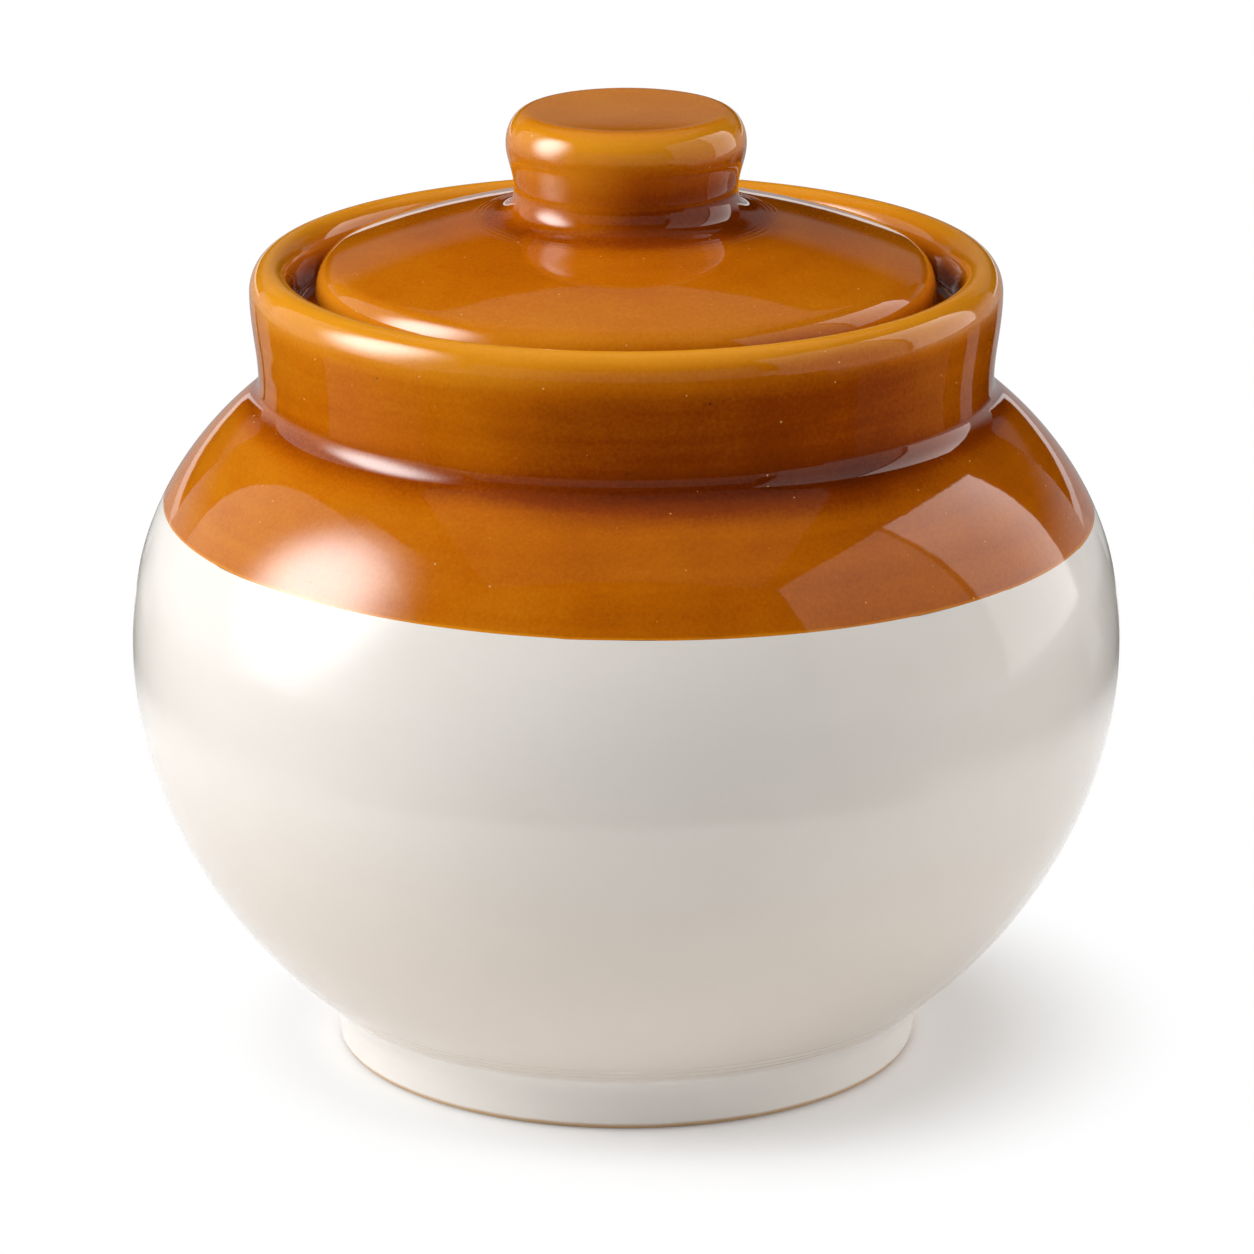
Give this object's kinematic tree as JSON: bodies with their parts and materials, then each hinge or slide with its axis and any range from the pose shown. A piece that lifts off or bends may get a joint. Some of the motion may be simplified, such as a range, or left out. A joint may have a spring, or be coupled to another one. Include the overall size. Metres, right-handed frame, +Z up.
{
  "type": "glazed stoneware jar",
  "caption": "Round-bellied glazed stoneware storage jar with a collar, a rolled rim and a drop-in domed lid with a knob, amber above and off-white below.",
  "frame": {"origin": "on the ground at the middle of the foot ring", "axes": "+Z up along the jar's axis; +X to the right and -Y towards the viewer, with the glaze line lower towards +X"},
  "size_m": [0.18, 0.18, 0.1743],
  "materials": {
    "bare_clay": "matt, bare toasted stoneware",
    "white_glaze": "glossy off-white glaze",
    "amber_glaze": "glossy translucent amber-brown glaze"
  },
  "bodies": {
    "jar": {"base_clay": "bare_clay", "bowl_clay": "bare_clay", "shoulder_clay": "bare_clay", "collar_clay": "bare_clay", "belly_glaze": "white_glaze", "shoulder_glaze": "amber_glaze", "liner_glaze": "white_glaze", "base_glaze": "white_glaze"},
    "lid": {"lid_clay": "bare_clay", "lid_glaze": "amber_glaze", "lid_liner_glaze": "white_glaze", "knob_clay": "bare_clay", "knob_glaze": "amber_glaze"}
  },
  "joints": [
    {"name": "lid_lift", "type": "slide", "parent": "jar", "child": "lid", "axis": [0, 0, 1], "range_m": [0, 0.06]}
  ]
}
